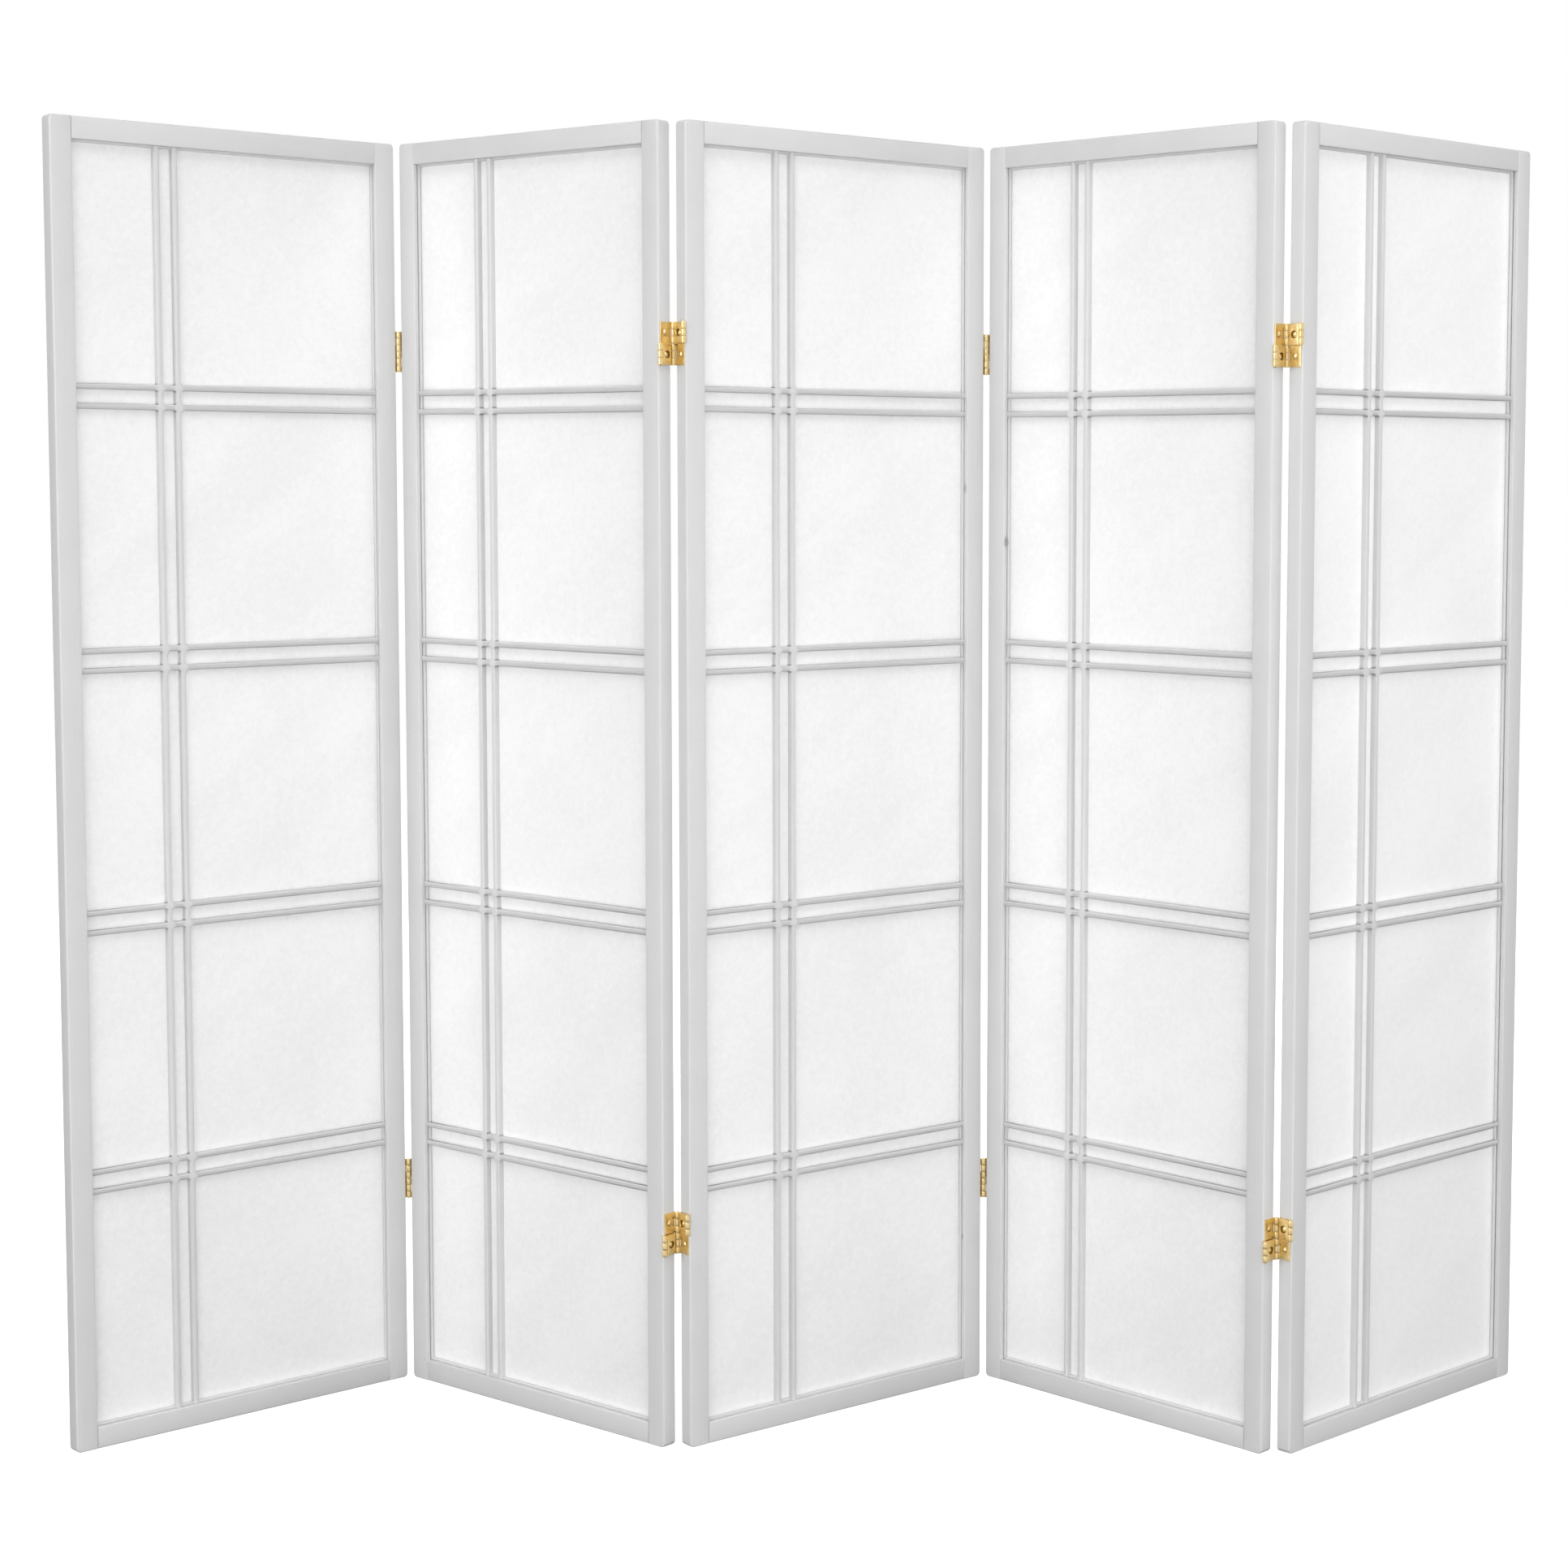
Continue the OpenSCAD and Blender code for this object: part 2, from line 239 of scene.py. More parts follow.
def readVertices(node):
    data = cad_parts[node].data.vertices
    points = np.empty(len(data) * 3, np.float32)
    data.foreach_get("co", points)
    return points.reshape(-1, 3).astype(float)


class Panel:
    # a panel's own frame: X along it from its left edge, Y to its back from mid thickness, Z up
    def __init__(self, n):
        self.n = n
        self.body = f"panel_{n}"
        # the paper's plan is a thin rectangle, so its two left corners and its two right ones
        # give the heading
        plan = np.unique(np.round(readVertices(f"paper_{n}")[:, :2], digits), axis=0)
        plan = plan[np.argsort(plan[:, 0])]
        along = unit(plan[-2:].mean(0) - plan[:2].mean(0))
        self.turn = np.array([[along[0], along[1], 0], [-along[1], along[0], 0], [0, 0, 1]])
        stile = readVertices(f"left_stile_{n}") @ self.turn.T
        low, high = stile.min(0), stile.max(0)
        self.origin = np.array([low[0], (low[1] + high[1]) / 2, low[2]]) @ self.turn

    def local(self, node):
        return (readVertices(node) - self.origin) @ self.turn.T

    def box(self, node):
        points = self.local(node)
        return points.min(0), points.max(0)

    def world(self, points):
        return points @ self.turn + self.origin


def spans(values, gap):
    # sorted values cut wherever two neighbours lie more than gap apart, as (lowest, highest)
    values = np.unique(np.round(values, digits))
    cut = np.flatnonzero(np.diff(values) > gap)
    return list(zip(values[np.r_[0, cut + 1]], values[np.r_[cut, len(values) - 1]]))


def runLengths(points):
    # how far along a row of points each one lies
    steps = np.linalg.norm(np.diff(points, axis=0), axis=1)
    return np.r_[0, np.cumsum(steps)]


def sweep(grid, capped=True, ringed=False):
    # grid[s, r] is point r of section s. Each square of four neighbours is a face and sections
    # are closed round r. Then the two end sections are filled (capped), or left open, or the
    # last one meets the first (ringed). corners is the point that each corner of a face uses
    sections, ring = grid.shape[:2]
    rows = sections if ringed else sections - 1
    s, r = np.meshgrid(np.arange(rows), np.arange(ring), indexing="ij")
    s2, r2 = (s + 1) % sections, (r + 1) % ring
    quads = np.stack([s * ring + r, s * ring + r2, s2 * ring + r2, s2 * ring + r], -1)
    middle = grid[sections // 2]
    around = runLengths(np.vstack([middle, middle[:1]]))
    centers = grid.mean(1)
    along = runLengths(np.vstack([centers, centers[:1]]) if ringed else centers)
    u = np.stack([along[s], along[s], along[s + 1], along[s + 1]], -1)
    v = np.stack([around[r], around[r + 1], around[r + 1], around[r]], -1)
    faces = quads.reshape(-1, 4).tolist()
    uvs = np.stack([u, v], -1).reshape(-1, 2)
    corners = quads.ravel()
    if capped and not ringed:
        last = (sections - 1) * ring
        faces += [list(range(ring))[::-1], list(range(last, last + ring))]
        ends = np.stack([np.full(ring, along[0]), around[:-1]], -1)[::-1]
        tips = np.stack([np.full(ring, along[-1]), around[:-1]], -1)
        uvs = np.vstack([uvs, ends, tips])
        corners = np.r_[corners, np.arange(ring)[::-1], np.arange(last, last + ring)]
    return {"points": grid.reshape(-1, 3), "faces": faces, "uvs": uvs, "corners": corners}


def moved(shell, matrix, shift=(0, 0, 0)):
    return {**shell, "points": shell["points"] @ np.asarray(matrix, float).T + shift}


def eased(corners, into, outOf, radii, steps):
    # corners[s, k] with a quarter circle of radii[s, k] in each. into and outOf are the unit
    # directions in which the outline reaches and leaves a corner: the arc's point at angle a
    # is corner + r * ((1 - sin a) * -into + (1 - cos a) * outOf)
    a = np.linspace(0, math.pi / 2, steps + 1)
    back = (1 - np.sin(a))[:, None] * -into[:, None, :]
    on = (1 - np.cos(a))[:, None] * outOf[:, None, :]
    points = corners[:, :, None, :] + radii[:, :, None, None] * (back + on)[None]
    return points.reshape(len(corners), -1, 2)


def paired(*places):
    # the corners of a section: each one's two coordinates, given for every section
    return np.stack([np.stack(np.broadcast_arrays(*place), -1) for place in places], 1)


def carried(section, places):
    # sections set at their places along a third axis
    runs = np.broadcast_to(places[:, None, None], section.shape[:2] + (1,))
    return sweep(np.concatenate([section, runs], -1))


# the directions in which a bar's outline reaches and leaves its four corners, from low front
barInto = np.array([(0, -1), (1, 0), (0, 1), (-1, 0)], float)
barOutOf = np.array([(1, 0), (0, 1), (-1, 0), (0, -1)], float)
# swaps a bar's length from Z to X
lying = [[0, 0, 1], [0, 1, 0], [1, 0, 0]]


def quarter(distance, radius):
    # how far a quarter circle of that radius has drawn in, at a distance from where it ends
    near = np.clip((radius - distance) / radius, 0, 1)
    return radius * (1 - np.sqrt(1 - near * near))


def spread(values, bars):
    # distance from each value to the nearest bar
    return np.min([np.maximum(np.maximum(a - values, values - b), 0) for a, b in bars], axis=0)


pieces = []

meshRules = {
    "sharpAngle": 34,  # degrees between two faces, from which their edge is shaded sharp
    "mergeReach": 2e-7,
    "shellShift": (0.37, 0.11),  # how far the grain moves on from one shell to the next
}


def addLayer(mesh, name, values):
    layer = mesh.uv_layers.new(name=name)
    layer.data.foreach_set("uv", values.astype(np.float32).ravel())


def makePiece(name, panel, shells, material, stands, salt=0.0):
    # shells in the panel's frame become one mesh in the room's, faces turned outwards
    mesh = bpy.data.meshes.new(name)
    alongShift, acrossShift = meshRules["shellShift"]
    points, faces, uvs, start = [], [], [], 0
    for k, shell in enumerate(shells):
        points.append(panel.world(shell["points"]))
        faces += [[v + start for v in face] for face in shell["faces"]]
        uvs.append(shell["uvs"] + [alongShift * k + salt, acrossShift * k])
        start += len(shell["points"])
    mesh.from_pydata(np.vstack(points).tolist(), [], faces)
    addLayer(mesh, "grain", np.vstack(uvs))
    # the tone layer carries the crossbars' painted shade and painted light
    if "tones" in shells[0]:
        tones = np.concatenate([shell["tones"] for shell in shells])
        addLayer(mesh, "tone", np.stack([tones, tones], 1))
    work = bmesh.new()
    work.from_mesh(mesh)
    bmesh.ops.remove_doubles(work, verts=work.verts, dist=meshRules["mergeReach"])
    bmesh.ops.dissolve_degenerate(work, edges=work.edges, dist=meshRules["mergeReach"])
    bmesh.ops.recalc_face_normals(work, faces=work.faces)
    work.to_mesh(mesh)
    work.free()
    mesh.materials.append(material)
    mesh.shade_smooth()
    mesh.set_sharp_from_angle(angle=math.radians(meshRules["sharpAngle"]))
    piece = bpy.data.objects.new(name, mesh)
    scene.collection.objects.link(piece)
    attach(piece, panel.body)
    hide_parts(*stands)
    pieces.append(piece)


framePaint = {
    "color": (0.608, 0.608, 0.608, 1),
    "shade": (0.580, 0.580, 0.580, 1),
    "toneSpan": (0.36, 0.62),
    "roughness": 0.42,
    "roughSpan": (0.06, 0.1),
    "grain": (9, 620, 1),
    "blotchScale": 21.0,
    "fineScale": 900.0,
    "speckScale": 620.0,
    "relief": 0.22,
    "reliefDepth": 0.0004,
    "scuffColor": (0.12, 0.115, 0.11, 1),
}
slatLook = {**framePaint, "roughness": 0.46}
# painted shade: the crossbars' paint is darkened to stand in for shading the lamps don't give
crossbarLook = {**slatLook, "paintedShade": (0.84, 0.84, 0.84, 1)}

paperLook = {
    "color": (0.846, 0.846, 0.846, 1),
    "fibre": (0.784, 0.784, 0.784, 1),
    "toneSpan": (0.38, 0.6),
    "roughness": 0.82,
    "gloss": 0.25,
    "cloudScale": 9.0,
    "wrinkleShadingTurn": 0.75,
    "wrinkleShadingStretch": (1.6, 1.0, 13.0),
    "mottleScale": 130.0,
    "threadStretch": (1.0, 1.0, 0.4),
    "threadScale": 520.0,
    "relief": 0.25,
    "reliefDepth": 0.0003,
}
# painted light: a lighter copy of the paper for the last panel, standing in for light the lamps give
# it too little
paintedLightPaperLook = {**paperLook, "color": (0.893, 0.893, 0.893, 1), "fibre": (0.838, 0.838, 0.838, 1)}

brassLook = {
    "color": (0.84, 0.665, 0.35, 1),
    "tarnish": (0.76, 0.56, 0.245, 1),
    "tarnishSpan": (0.32, 0.6),
    "roughness": 0.3,
    "roughSpan": (0.08, 0.14),
    "smearScale": 150.0,
    "scratchStretch": (1, 1, 0.12),
    "scratchScale": 2600.0,
    "relief": 0.15,
    "reliefDepth": 0.0001,
}
screwLook = {**brassLook, "color": (0.90, 0.73, 0.40, 1), "roughness": 0.22}


def paintedWood(look, scuffs=()):
    # matt paint over grain that runs along each bar. Painted shade darkens a bar where its tone layer
    # is 0, standing in for shading the lamps don't give, and a scuff is a ragged dark spot: (place in
    # the room, size, depth of tone)
    def build(graph, shader):
        grainMap = graph.node("ShaderNodeUVMap", {"uv_map": "grain"}, {})
        place = graph.node("ShaderNodeTexCoord", {}, {}, "Object")
        streaks = graph.noise(graph.stretched(grainMap, look["grain"]), 1.0, 3, 0.62, 0.3)
        blotches = graph.noise(place, look["blotchScale"], 3, 0.6)
        fine = graph.noise(place, look["fineScale"], 2, 0.5)
        specks = graph.noise(place, look["speckScale"], 2, 0.7)
        tone = graph.between(streaks * 0.3 + blotches * 0.3 + specks * 0.4, *look["toneSpan"])
        color = graph.mixed(tone, look["shade"], look["color"])
        # painted shade: where the tone layer is 0 the colour is darkened, where it is 1 (crossings,
        # upper edge) the paint is left lighter
        if "paintedShade" in look:
            across = graph.node("ShaderNodeUVMap", {"uv_map": "tone"}, {})
            lapped = graph.node("ShaderNodeSeparateXYZ", {}, {"Vector": across}, "X")
            shadedColor = graph.node("ShaderNodeMix", {"data_type": "RGBA", "blend_type": "MULTIPLY"},
                                {0: 1.0, 6: color, 7: look["paintedShade"]}, 2)
            color = graph.mixed(lapped, shadedColor, color)
        for spot, size, depth in scuffs:
            low = graph.stretched(place, (1, 1, 0.5))
            spot = (spot[0], spot[1], spot[2] * 0.5)
            away = graph.node("ShaderNodeVectorMath", {"operation": "DISTANCE"},
                              {0: low, 1: spot}, "Value")
            ragged = away + (fine - 0.5) * (size * 0.8)
            rubbed = graph.between(ragged, size * 0.35, size, depth, 0.0)
            color = graph.mixed(rubbed, color, look["scuffColor"])
        graph.fill(shader, {"Base Color": color, "Roughness": graph.rough(blotches, look),
                            "Normal": graph.bumped(streaks * 0.7 + fine * 0.3, look)})
    return build


def washi(look):
    # matt paper: broad clouds, slanting streaks of painted light and shade as on wrinkles, a mottle
    # and short threads, mixed by share
    def build(graph, shader):
        place = graph.node("ShaderNodeTexCoord", {}, {}, "Object")
        clouds = graph.noise(place, look["cloudScale"], 4, 0.6)
        # painted light and shade: slanting streaks in colour only that stand for light falling on
        # wrinkles
        turned = graph.node("ShaderNodeMapping", {},
                            {"Vector": place, "Rotation": (0, look["wrinkleShadingTurn"], 0)})
        wrinkleShading = graph.noise(graph.stretched(turned, look["wrinkleShadingStretch"]), 1.0, 2, 0.5, 0.6)
        mottle = graph.noise(place, look["mottleScale"], 4, 0.7, 0.5)
        lengthened = graph.stretched(place, look["threadStretch"])
        threads = graph.noise(lengthened, look["threadScale"], 2, 0.6, 1.6)
        shares = clouds * 0.2 + wrinkleShading * 0.2 + mottle * 0.35 + threads * 0.25
        color = graph.mixed(graph.between(shares, *look["toneSpan"]), look["fibre"], look["color"])
        graph.fill(shader, {"Base Color": color, "Roughness": look["roughness"],
                            "Normal": graph.bumped(mottle * 0.5 + threads * 0.5, look),
                            "Specular IOR Level": look["gloss"]})
    return build


def brass(look):
    # metal with smears of tarnish and fine upright scratches
    def build(graph, shader):
        place = graph.node("ShaderNodeTexCoord", {}, {}, "Object")
        smears = graph.noise(place, look["smearScale"], 4, 0.6, 0.5)
        lengthened = graph.stretched(place, look["scratchStretch"])
        scratch = graph.noise(lengthened, look["scratchScale"], 2, 0.5)
        bright = graph.between(smears, *look["tarnishSpan"])
        graph.fill(shader, {"Base Color": graph.mixed(bright, look["tarnish"], look["color"]),
                            "Roughness": graph.rough(smears * 0.6 + scratch * 0.4, look),
                            "Metallic": 1.0, "Normal": graph.bumped(scratch, look)})
    return build


# outerR, innerR and lipR round the edges that run along, cornerR the outer side's two ends and
# endR the rest of both ends, by endShare of it on the inner side. lip is the wood before the rabbet
stileShape = {"outerR": 0.002, "innerR": 0.0014, "cornerR": 0.005, "endR": 0.0008,
              "endShare": 0.4, "lip": 0.0055, "lipR": 0.0003, "rabbet": 0.005, "steps": 4,
              "cornerSteps": 10}

railShape = {"outerR": 0.002, "innerR": 0.0014, "lip": 0.0055, "lipR": 0.0003,
             "rabbet": 0.002, "jointEase": 0.00006, "steps": 4}


def stileShell(low, high, rabbetEnd, shape):
    # an L-shaped section in plan carried up from foot to head. Its outer side draws in by a
    # quarter circle of cornerR at both ends, and the L is filled beyond the rabbet's ends
    depth, width, tall = high[1] - low[1], high[0] - low[0], high[2] - low[2]
    a = np.linspace(math.pi / 2, 0, shape["cornerSteps"] + 1)
    foot = shape["cornerR"] * (1 - np.sin(a))
    z = np.r_[foot, rabbetEnd, rabbetEnd, tall - rabbetEnd, tall - rabbetEnd, tall - foot[::-1]]
    solid = len(foot) + 1  # sections below the rabbet
    cut = np.zeros(len(z))
    cut[solid:-solid] = 1
    toEnd = np.minimum(z, tall - z)
    outer = quarter(toEnd, shape["cornerR"])
    end = quarter(toEnd, shape["endR"])
    front, back = -depth / 2 + end, depth / 2 - end
    inner = width - shape["endShare"] * end
    lipY = -depth / 2 + shape["lip"]
    step = inner - cut * shape["rabbet"]
    corners = paired((outer, front), (inner, front), (inner, lipY), (step, lipY),
                     (step, back), (outer, back))
    into = np.array([(0, -1), (1, 0), (0, 1), (-1, 0), (0, 1), (-1, 0)], float)
    outOf = np.array([(1, 0), (0, 1), (-1, 0), (0, 1), (-1, 0), (0, -1)], float)
    outerR, innerR = shape["outerR"], shape["innerR"]
    radii = np.tile([outerR, innerR, 0, 0, innerR, outerR], (len(z), 1))
    radii[:, 2] = cut * shape["lipR"]
    return carried(eased(corners, into, outOf, radii, shape["steps"]), z)


def railShell(low, high, shape):
    # an L-shaped section in YZ carried along X, drawn in a little where it meets the stiles
    ease = shape["jointEase"]
    x = np.r_[low[0] + ease * np.arange(3), high[0] - ease * np.arange(3)[::-1]]
    draw = ease * np.array([1, 0.25, 0, 0, 0.25, 1])
    front, back, foot, top = low[1] + draw, high[1] - draw, low[2] + draw, high[2] - draw
    lipY = low[1] + shape["lip"]
    step = top - shape["rabbet"]
    corners = paired((front, foot), (front, top), (lipY, top), (lipY, step),
                     (back, step), (back, foot))
    into = np.array([(-1, 0), (0, 1), (1, 0), (0, -1), (1, 0), (0, -1)], float)
    outOf = np.array([(0, 1), (1, 0), (0, -1), (1, 0), (0, -1), (-1, 0)], float)
    outerR, innerR = shape["outerR"], shape["innerR"]
    radii = np.tile([outerR, innerR, shape["lipR"], 0, innerR, outerR], (len(x), 1))
    section = eased(corners, into, outOf, radii, shape["steps"])
    runs = np.broadcast_to(x[:, None, None], section.shape[:2] + (1,))
    return sweep(np.concatenate([runs, section], -1))


def flipX(shell, width):
    return moved(shell, np.diag([-1, 1, 1]), (width, 0, 0))


def flipZ(shell, height):
    return moved(shell, np.diag([1, 1, -1]), (0, 0, height))


# fade is the reach of an eased edge's run-out, in fillet radii, and tongue is the length of a
# crossbar's end that lies over the border strip
slatShape = {"edgeR": 0.0022, "filletR": 0.0016, "fade": 2.5, "tongue": 0.0012, "lapY": -0.0015,
             "steps": 4}

stripShape = {"side": 0.006, "end": 0.0042, "front": -0.0039, "behindLip": 0.0014, "gap": 0.0001,
              "ease": 0.0008, "round": 0.0022, "groove": 0.0018, "steps": 4}


def crossingStations(start, end, crossings, shape):
    # places along a bar: its ends, and round each crossing the steps of a fillet before and after
    fillet = shape["filletR"] * (1 - np.cos(np.linspace(0, math.pi / 2, 5)))
    fade = shape["fade"] * shape["filletR"]
    places = [start, start + shape["tongue"], end - shape["tongue"], end]
    for low, high in crossings:
        places += [*(low - fillet), *(high + fillet)]
        places += [low - fade, high + fade, low, high]
    return np.sort(np.array(places))


def slatShell(start, end, low, high, frontY, backY, crossings, shape, over):
    # a bar's section carried along it: across, Y, along. Its front edges are eased except where
    # another bar crosses flush, its sides swell into a small fillet beside that bar, and the
    # half of it that the other bar takes is left out: behind where over is true, in front
    # where it is not. A bar that lies over also carries a tone for painted shade, which is 0
    # (darkened) along it, 1 where another bar crosses, and rises to 1 round its upper edge,
    # which is left lighter as painted light from above
    t = crossingStations(start, end, crossings, shape)
    order = np.arange(len(t))
    isLap = np.zeros(len(t), bool)
    for a, b in crossings:
        first = np.flatnonzero(np.abs(t - a) < 1e-9)
        last = np.flatnonzero(np.abs(t - b) < 1e-9)
        isLap |= (order >= first[-1]) & (order <= last[0])
    away = spread(t, crossings)
    faded = away / (shape["fade"] * shape["filletR"])
    swell = np.where(isLap, 0, quarter(away, shape["filletR"]))
    edge = shape["edgeR"] * np.clip(faded, 0, 1)
    front, back = frontY, backY
    if over:
        back = np.where(isLap, shape["lapY"], backY)
        tongue = shape["tongue"] + stripShape["gap"]
        atEnd = (t < start + tongue) | (t > end - tongue)
        back = np.where(atEnd, stripShape["front"] - stripShape["gap"], back)
    else:
        front = np.where(isLap, shape["lapY"], frontY)
    a, b = low - swell, high + swell
    corners = paired((a, front), (b, front), (b, back), (a, back))
    radii = np.stack([edge, edge, edge * 0, edge * 0], 1)
    section = eased(corners, barInto, barOutOf, radii, shape["steps"])
    shell = carried(section, t)
    if over:
        # painted shade and light: tone 0 darkens the bar, tone 1 spares its crossings and, as painted
        # light from above, its upper edge
        lapped = np.clip(1 - faded, 0, 1)[:, None]
        upper = np.clip((section[..., 0] - high + shape["edgeR"]) / shape["edgeR"], 0, 1)
        shell["tones"] = np.maximum(lapped, upper).ravel()[shell["corners"]]
    return shell


def stripShell(along, across, front, back, frontRadii, shape):
    # a strip's section, its back edges rounded by groove, carried along it: across, Y, along
    a, b = across
    corners = np.tile([(a, front), (b, front), (b, back), (a, back)], (2, 1, 1))
    radii = np.tile([*frontRadii, shape["groove"], shape["groove"]], (2, 1))
    section = eased(corners, barInto, barOutOf, radii, shape["steps"])
    return carried(section, np.array(along))


def borderShells(low, high, shape):
    # two side strips, and two end strips between them. Their front edges towards the paper are
    # rounded by round and those towards the frame by ease
    front, back = low[1] + shape["behindLip"], high[1]
    side, end = shape["side"], shape["end"]
    between = (low[0] + side + shape["gap"], high[0] - side - shape["gap"])
    atLow, atHigh = (shape["ease"], shape["round"]), (shape["round"], shape["ease"])
    tall = (low[2], high[2])
    shells = [stripShell(tall, (low[0], low[0] + side), front, back, atLow, shape),
              stripShell(tall, (high[0] - side, high[0]), front, back, atHigh, shape)]
    for across, radii in (((low[2], low[2] + end), atLow), ((high[2] - end, high[2]), atHigh)):
        shells.append(moved(stripShell(between, across, front, back, radii, shape), lying))
    return shells


paperShape = {"columns": 49, "rows": 163, "sag": 0.00035, "waves": 9, "waveLengths": (0.12, 0.42),
              "waveShare": 3, "hold": 0.02, "seed": 40}


def paperShell(low, high, barsX, barsZ, shape, seed):
    # a sheet: y = sag * (waves / 2 + 1 / 2) * slack, kept from 0 to 1.2 sag. waves is the sum of
    # sin(2 pi * way / length + phase) / waveShare, where way is the distance along a random
    # heading, and slack = 1 - exp(-(distance to a bar / hold)^2)
    draw = np.random.default_rng(seed)
    x = np.linspace(low[0], high[0], shape["columns"])
    z = np.linspace(low[2], high[2], shape["rows"])
    zz, xx = np.meshgrid(z, x, indexing="ij")
    waves = np.zeros_like(xx)
    for _ in range(shape["waves"]):
        angle, phase = draw.uniform(0, math.pi), draw.uniform(0, 2 * math.pi)
        length = draw.uniform(*shape["waveLengths"])
        way = xx * math.cos(angle) + zz * math.sin(angle)
        waves += np.sin(2 * math.pi * way / length + phase) / shape["waveShare"]
    held = np.minimum(spread(xx, barsX), spread(zz, barsZ))
    slack = 1 - np.exp(-(held / shape["hold"]) ** 2)
    y = np.clip(waves * 0.5 + 0.5, 0, 1.2) * shape["sag"] * slack
    front = np.stack([xx, low[1] + y, zz], -1)
    back = np.stack([xx, high[1] + y, zz], -1)
    return sheetShell(front, back)


def sheetShell(front, back):
    # each row of the front runs on round into the same row of the back
    grid = np.concatenate([front, back[:, ::-1]], 1)
    rows, columns = front.shape[:2]
    shell = sweep(grid, capped=False)
    last = (rows - 1) * 2 * columns
    loop = list(range(2 * columns))
    shell["faces"] += [loop[::-1], [last + v for v in loop]]
    flat = np.zeros((2 * columns, 2))
    shell["uvs"] = np.vstack([shell["uvs"], flat, flat])
    return shell


# half is half the hinge's height, plateHalf and leafHalf are half widths, and a curl is the
# angles round the pin, in degrees, from where a sheet meets its barrel to where it ends
hingeShape = {"gap": 0.007, "plate": 0.0012, "half": 0.024, "plateHalf": 0.00772,
              "leafHalf": 0.00665, "ease": 0.00025, "barrelR": 0.003, "barrelY": 0.01,
              "boreR": 0.00125, "knuckle": 0.008, "knuckleGap": 0.0003,
              "plateCurl": (180, -130), "leafCurl": (215, -75), "plateBend": 0.0012,
              "leafBend": 0.0008, "holeR": 0.0043, "holeZ": 0.012, "holeSteps": 72}

# short is how far a pin stops inside its barrel, and tipLow and tipHigh are how far below the
# hinge's middle the outer pin's tip begins and ends
pinShape = {"radius": 0.0012, "short": 0.0002, "ease": 0.0003, "tipR": 0.0009, "tipLow": 0.0004,
            "tipHigh": 0.00015, "knobR": 0.0019, "knobRise": 0.0009, "domeAngle": 80,
            "knobTurns": 24, "rodTurns": 20}

# underLeaf is how far a head stands out to show through a leaf's hole. A head narrows by
# coneShare of its sink below, and its under side lies at underShare of it
screwShape = {"headR": 0.0034, "headRise": 0.0014, "underLeaf": 0.0009, "sink": 0.0008,
              "headGap": 0.0001, "slot": 0.0008, "slotDeep": 0.0007, "length": 0.013,
              "shankR": 0.0013, "tipR": 0.0002, "tip": 0.003, "coneShare": 0.8,
              "underShare": 0.9, "headSteps": 8, "turns": 20, "seed": 70}


def lathe(profile, turns):
    # profile[k] = (height, radius) turned about the Z axis, its two ends closed at the axis
    angle = np.linspace(0, 2 * math.pi, turns, endpoint=False)
    h, r = np.asarray(profile, float).T
    grid = np.stack([r[:, None] * np.cos(angle), r[:, None] * np.sin(angle),
                     np.broadcast_to(h[:, None], (len(h), turns))], -1)
    return sweep(grid)


def easedRod(low, high, radius, ease, turns):
    # a rod whose ends draw in by a quarter circle
    a = np.linspace(math.pi / 2, 0, 4)
    rise, draw = ease * (1 - np.sin(a)), ease * (1 - np.cos(a))
    down = np.stack([low + rise, radius - draw], -1)
    up = np.stack([high - rise[::-1], (radius - draw)[::-1]], -1)
    return lathe(np.vstack([down, up]), turns)


def outlineOf(middle, thick):
    # both sides of a bent sheet seen end on: its middle line moved across by half its thickness
    run = np.gradient(middle, axis=0)
    run /= np.linalg.norm(run, axis=1)[:, None]
    across = np.stack([-run[:, 1], run[:, 0]], -1) * thick[:, None] / 2
    return np.vstack([middle + across, (middle - across)[::-1]])


def slab(outline, low, high, ease):
    # an outline carried from low to high, drawn in at both ends
    run = np.roll(outline, -1, 0) - np.roll(outline, 1, 0)
    run /= np.maximum(np.linalg.norm(run, axis=1), 1e-9)[:, None]
    inward = np.stack([-run[:, 1], run[:, 0]], -1)
    x, y = outline.T
    area = np.sum(x * np.roll(y, -1) - np.roll(x, -1) * y)
    inward *= 1 if area > 0 else -1
    a = np.linspace(math.pi / 2, 0, 3)
    rise, draw = ease * (1 - np.sin(a)), ease * (1 - np.cos(a))
    heights = np.r_[low + rise, high - rise[::-1]]
    draws = np.r_[draw, draw[::-1]]
    plan = outline[None] + inward[None] * draws[:, None, None]
    return carried(plan, heights)


def curl(start, joinAngle, endAngle, shape):
    # a sheet's middle line: a cubic from its flat part to the barrel, then round the pin
    center = np.array([shape["gap"] / 2, shape["barrelY"]])
    radius = (shape["boreR"] + shape["barrelR"]) / 2
    join, end = math.radians(joinAngle), math.radians(endAngle)
    joinPoint = center + radius * np.array([math.cos(join), math.sin(join)])
    heading = np.array([math.sin(join), -math.cos(join)])
    start = np.array(start, float)
    reach = np.linalg.norm(joinPoint - start)
    t = np.linspace(0, 1, 7)[:-1, None]
    cubic = ((2 * t**3 - 3 * t**2 + 1) * start + (t**3 - 2 * t**2 + t) * reach * np.array([0, 1])
             + (3 * t**2 - 2 * t**3) * joinPoint + (t**3 - t**2) * reach * heading)
    a = np.linspace(join, end, 26)
    arc = center + radius * np.stack([np.cos(a), np.sin(a)], -1)
    middle = np.vstack([cubic, arc])
    wall = shape["barrelR"] - shape["boreR"]
    grow = np.clip(runLengths(middle) / (reach * 1.1), 0, 1)
    return outlineOf(middle, shape["plate"] + (wall - shape["plate"]) * grow)


